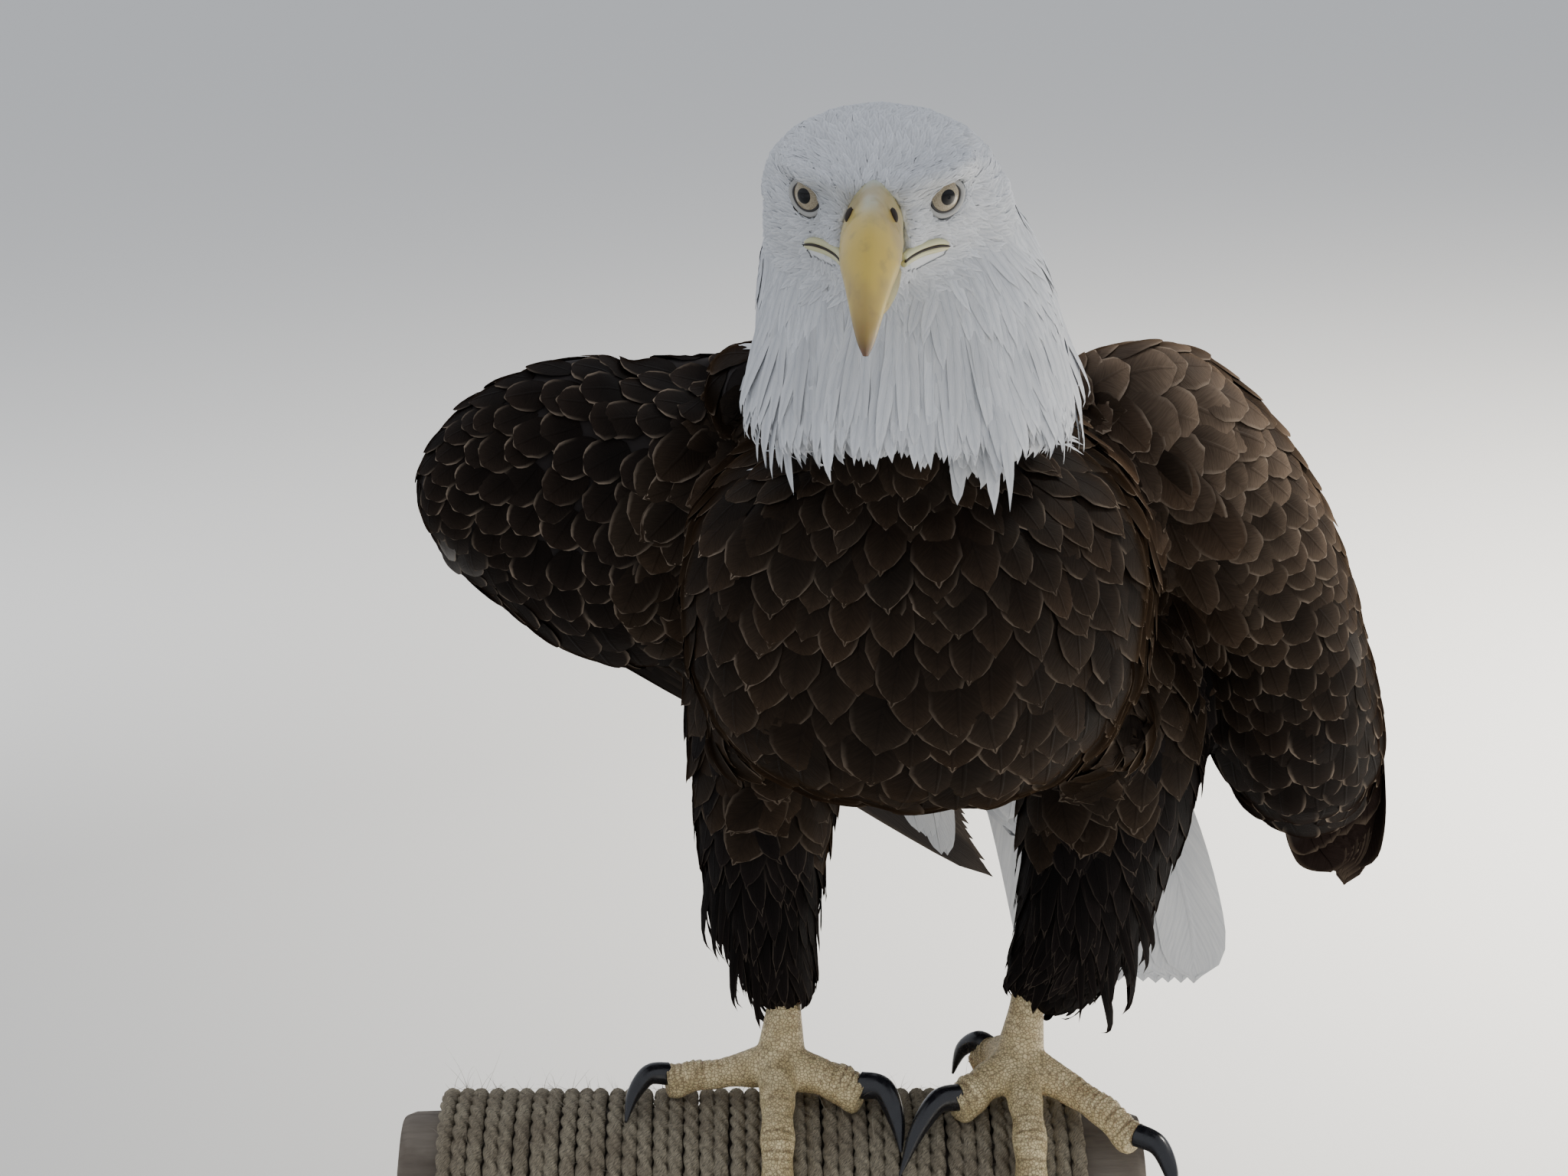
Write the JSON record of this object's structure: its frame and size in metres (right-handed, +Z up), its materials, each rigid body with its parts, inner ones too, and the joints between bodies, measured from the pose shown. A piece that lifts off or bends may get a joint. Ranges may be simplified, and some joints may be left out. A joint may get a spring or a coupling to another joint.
{
  "type": "bald eagle",
  "caption": "Still life-size bald eagle, leaning forward with half-open drooping wings, gripping a rope-wrapped log held on a plain display stand.",
  "frame": {"origin": "bottom centre of the bounding box, on the floor the stand rests on", "axes": "+Z up, the bird faces -Y, +X is the bird's left"},
  "size_m": [0.532, 0.6306, 0.7381],
  "materials": {
    "stand_board": "satin black lacquered board",
    "stand_steel": "brushed round bar",
    "perch_wood": "weathered bare wood",
    "perch_rope": "laid natural-fibre rope",
    "white_feathers": "white contour feathers",
    "brown_feathers": "dark brown feathers with paler rims",
    "dark_feathers": "blackish brown feathers",
    "bill_horn": "waxy yellow horn",
    "eye": "wet, pale straw iris and black pupil",
    "foot_skin": "dull yellow scaled skin",
    "claw_horn": "black horn"
  },
  "bodies": {
    "root": {"bill_lower": "bill_horn", "bill_upper": "bill_horn", "claw_1_left": "claw_horn", "claw_1_right": "claw_horn", "claw_2_left": "claw_horn", "claw_2_right": "claw_horn", "claw_3_left": "claw_horn", "claw_3_right": "claw_horn", "claw_4_left": "claw_horn", "claw_4_right": "claw_horn", "eye_left": "eye", "eye_right": "eye", "head": "white_feathers", "neck": "white_feathers", "perch_log": "perch_wood", "perch_rope": "perch_rope", "shank_left": "foot_skin", "shank_right": "foot_skin", "stand_base": "stand_board", "stand_rod_left": "stand_steel", "stand_rod_right": "stand_steel", "tail": "white_feathers", "thigh_left": "dark_feathers", "thigh_right": "dark_feathers", "toe_1_left": "foot_skin", "toe_1_right": "foot_skin", "toe_2_left": "foot_skin", "toe_2_right": "foot_skin", "toe_3_left": "foot_skin", "toe_3_right": "foot_skin", "toe_4_left": "foot_skin", "toe_4_right": "foot_skin", "trunk": "brown_feathers", "undertail": "white_feathers", "wing_left_arm": "brown_feathers", "wing_left_primaries": "dark_feathers", "wing_left_secondaries": "brown_feathers", "wing_right_arm": "brown_feathers", "wing_right_primaries": "dark_feathers", "wing_right_secondaries": "brown_feathers"}
  },
  "joints": []
}
